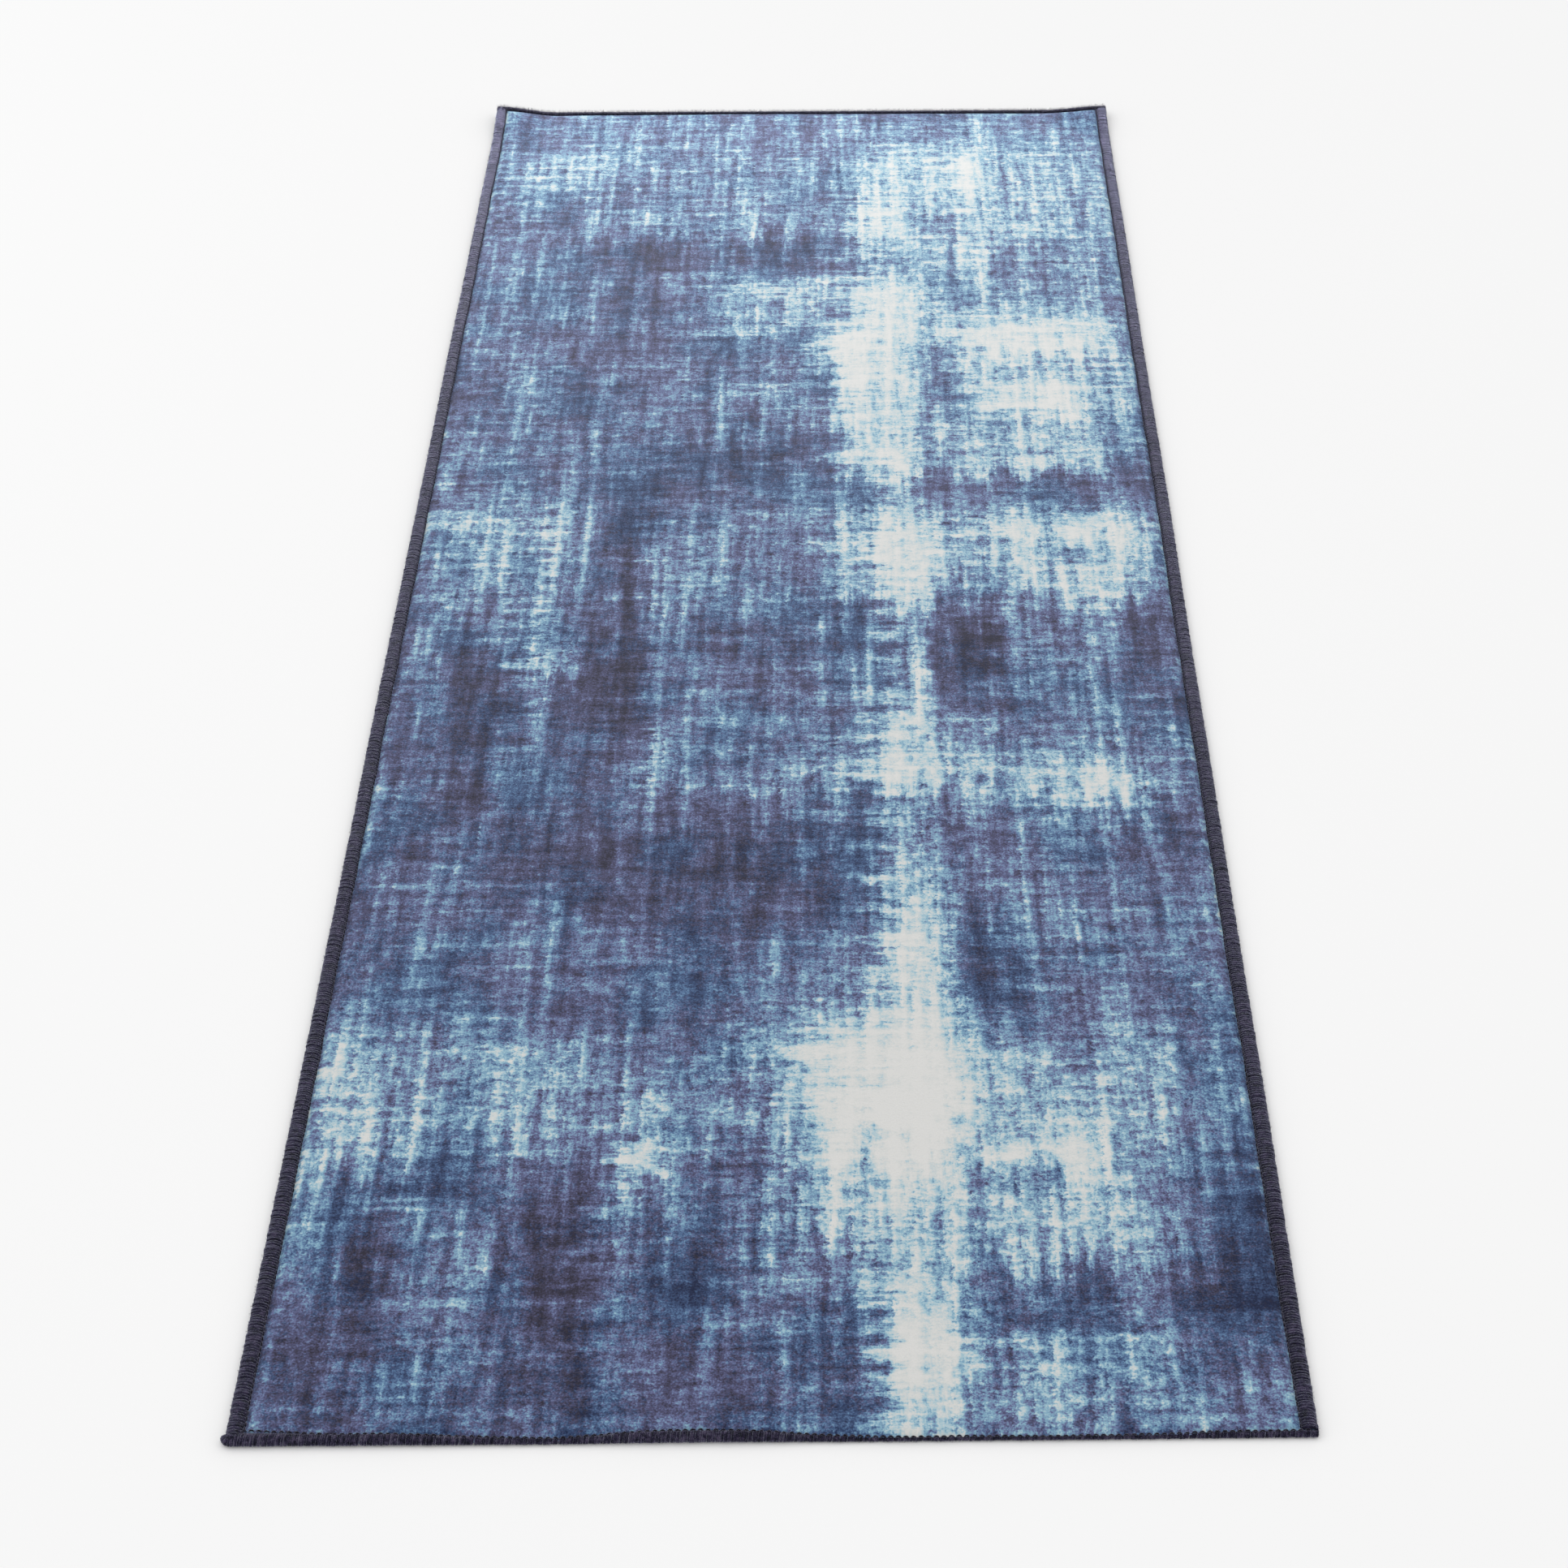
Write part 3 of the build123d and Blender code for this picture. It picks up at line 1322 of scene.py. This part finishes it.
@dataclass(frozen=True)
class Panel:
    """One square soft light that faces the middle of the rug, its power in watts."""

    name: str
    place: Triple
    size: float
    power: float
    colour: Triple = (1.0, 1.0, 1.0)

    def hang(self) -> bpy.types.Object:
        """Hang the light.

        Returns:
            The hung light.
        """
        light = bpy.data.lights.new(self.name, "AREA")
        light.shape = "SQUARE"
        light.size = self.size
        light.energy = self.power
        light.color = self.colour
        hung = bpy.data.objects.new(self.name, light)
        hung.location = self.place
        hung.rotation_euler = (-Vector(self.place)).to_track_quat("-Z", "Y").to_euler()
        bpy.context.scene.collection.objects.link(hung)
        return hung


@dataclass(frozen=True)
class Studio:
    """A plain pale floor, soft light and the camera.

    Two low panels past the far end light it more: one the whole rug and one only the yarns of
    the long sides. Neither falls on the floor.
    """

    floor_size: float = 30.0
    floor_drop: float = 0.0002
    room_strength: float = 0.91
    left_panel: Panel = Panel("left_panel", (-2.4, 0.8, 2.6), 2.0, 9.0)
    far_panel: Panel = Panel("far_panel", (-0.25, 1.95, 0.50), 0.9, 22.0)
    fuzz_panel: Panel = Panel("fuzz_panel", (-0.10, 1.35, 0.36), 0.5, 38.0, (0.86, 0.90, 1.0))
    camera_place: Triple = (0.0482, -2.2457, 1.3670)
    look_down: float = 34.663
    look_right: float = 0.7235
    lens: float = 77.153
    shift_across: float = -0.0673

    def build(self, rug: list[bpy.types.Object]) -> None:
        """Make the floor, the lights and the camera round the rug.

        Args:
            rug: the rug's pieces.
        """
        self._floor()
        self._room_light()
        self.left_panel.hang()
        self._hang_over(self.far_panel, rug)
        long_sides = ("left_edging_yarn", "right_edging_yarn")
        self._hang_over(self.fuzz_panel, [piece for piece in rug if piece.name in long_sides])
        self._camera()
        bpy.context.scene.view_settings.view_transform = "Standard"

    def _floor(self) -> None:
        """Lay the floor."""
        shape = bmesh.new()
        bmesh.ops.create_grid(shape, x_segments=1, y_segments=1, size=self.floor_size / 2)
        bmesh.ops.translate(shape, verts=shape.verts[:], vec=(0.0, 0.0, -self.floor_drop))
        shader = Shader("floor")
        shader.dress(Base_Color=(0.98, 0.98, 0.98), Roughness=1.0, Specular_IOR_Level=0.0)
        finished("floor", shape, shader.material)

    def _room_light(self) -> None:
        """Light the room evenly from all round."""
        world = bpy.data.worlds.new("room")
        world.use_nodes = True
        background = world.node_tree.nodes["Background"]
        background.inputs["Color"].default_value = (1.0, 1.0, 1.0, 1.0)
        background.inputs["Strength"].default_value = self.room_strength
        bpy.context.scene.world = world

    @staticmethod
    def _hang_over(panel: Panel, pieces: list[bpy.types.Object]) -> None:
        """Hang a panel that lights nothing but some of the pieces.

        Args:
            panel: the panel.
            pieces: what it lights.
        """
        lit = bpy.data.collections.new(panel.name)
        for piece in pieces:
            lit.objects.link(piece)
        panel.hang().light_linking.receiver_collection = lit

    def _camera(self) -> None:
        """Set up the camera."""
        camera = bpy.data.cameras.new("camera")
        camera.lens = self.lens
        camera.shift_x = self.shift_across
        stand = bpy.data.objects.new("camera", camera)
        stand.location = self.camera_place
        tilt, turn = math.radians(90.0 - self.look_down), math.radians(self.look_right)
        stand.rotation_euler = (tilt, 0.0, -turn)
        bpy.context.scene.collection.objects.link(stand)
        bpy.context.scene.camera = stand


# ---- the rug


@dataclass(frozen=True)
class Rug:
    """The whole runner, from the CAD frame's box.

    The ends carry more strands to a stitch than the long sides, and the far end more and longer
    loose fibres. A margin is how far an edging stops short of its edge's end.
    """

    stitch_pitch: float = 0.00425
    ground_low: float = 0.0012
    pile_relief: float = 0.00012
    side_strands: int = 2
    side_margin: float = 0.004
    end_strands: int = 4
    end_margin: float = 0.0005
    near_fan: int = 10
    fuzz: tuple[int, float] = (10, 0.0010)
    far_fuzz: tuple[int, float] = (40, 0.0024)
    far_band: Band = ((0.0, 0.0080), (0.4, 0.0066), (1.0, 0.0078))
    near_band: Band = (
        (0.00, 0.0034),
        (0.25, 0.0010),
        (0.36, 0.0012),
        (0.58, 0.0068),
        (0.71, 0.0030),
        (0.88, 0.0062),
        (1.00, 0.0093),
    )
    # One edging yarn in two copies. The sides' copy is darker, as painted shade under their sheen
    # and edge light. The ends' copy is lighter, as painted light where they catch little sheen
    side_yarn_painted_shade: Yarn = Yarn(
        "side_edging_yarn", (0.002, 0.002, 0.007), (0.008, 0.006, 0.026), (0.044, 0.034, 0.070)
    )
    end_yarn_painted_light: Yarn = Yarn(
        "end_edging_yarn", (0.003, 0.003, 0.009), (0.019, 0.015, 0.041), (0.082, 0.068, 0.118)
    )
    thread: Yarn = Yarn(
        "needle_thread", (0.004, 0.003, 0.008), (0.010, 0.009, 0.018), (0.030, 0.026, 0.044)
    )

    @property
    def half_size(self) -> tuple[float, float]:
        """Half of the rug's outside width and length."""
        low, high = CAD_BOX
        return (high.x - low.x) / 2, (high.y - low.y) / 2

    def edges(self) -> tuple[Edge, ...]:
        """The four edges, as the laid rug shows them.

        Returns:
            The edges, long sides first.
        """
        half_width, half_length = self.half_size
        low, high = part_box("left_edging")
        side_band = ((0.0, high.x - low.x), (1.0, high.x - low.x))
        return (
            Edge(Side.LEFT, half_length, half_width, side_band),
            Edge(Side.RIGHT, half_length, half_width, side_band),
            Edge(Side.FAR_END, half_width, half_length, self.far_band),
            Edge(Side.NEAR_END, half_width, half_length, self.near_band),
        )

    def layers(self) -> list[ClothLayer]:
        """The three bonded layers, from the top down.

        Returns:
            The layers, not yet built.
        """
        ground_top, pile_top = (corner.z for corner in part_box("printed_pile"))
        half_width, half_length = self.half_size
        pile = PrintedPile(2.0 * half_width, 2.0 * half_length).material()
        return [
            ClothLayer(
                "pile_face", "printed_pile", "printed_pile",
                ground_top, pile_top, 112, 340, pile, self.pile_relief,
            ),
            ClothLayer(
                "woven_ground", "ground_cloth", "ground_cloth",
                self.ground_low, ground_top, 48, 140, GroundWeave().material(),
            ),
            ClothLayer(
                "latex_sheet", "non_slip_backing", "latex_backing",
                0.0, self.ground_low, 60, 180, LatexBacking().material(),
            ),
        ]

    def build(self) -> list[bpy.types.Object]:
        """Make every piece of the rug.

        Returns:
            The pieces.
        """
        edges = self.edges()
        lie = Lie(*self.half_size, edges)
        parts = self.layers()
        # The ends take the lighter copy of the yarn (painted light) and the long sides the darker
        # copy (painted shade)
        side_yarn_painted_shade, end_yarn_painted_light = self.side_yarn_painted_shade.material(), self.end_yarn_painted_light.material()
        thread = self.thread.material()
        for edge in edges:
            name = edge.side.name.lower()
            if edge.side in (Side.FAR_END, Side.NEAR_END):
                yarn, strands, margin = end_yarn_painted_light, self.end_strands, self.end_margin
            else:
                yarn, strands, margin = side_yarn_painted_shade, self.side_strands, self.side_margin
            fan = self.near_fan if edge.side is Side.NEAR_END else 0
            fuzz = self.far_fuzz if edge.side is Side.FAR_END else self.fuzz
            parts += [
                Edging(
                    edge, f"{name}_edging", yarn, self.stitch_pitch, strands, *fuzz, margin, fan
                ),
                NeedleThread(edge, f"{name}_needle_thread", thread, self.stitch_pitch),
            ]
        return [part.build(lie) for part in parts]


def main() -> None:
    """Build the rug and the room round it."""
    logging.basicConfig(level=logging.INFO, format="%(name)s: %(message)s")
    noise.seed_set(NOISE_SEED)
    rug = Rug().build()
    Studio().build(rug)


if __name__ == "__main__":
    main()
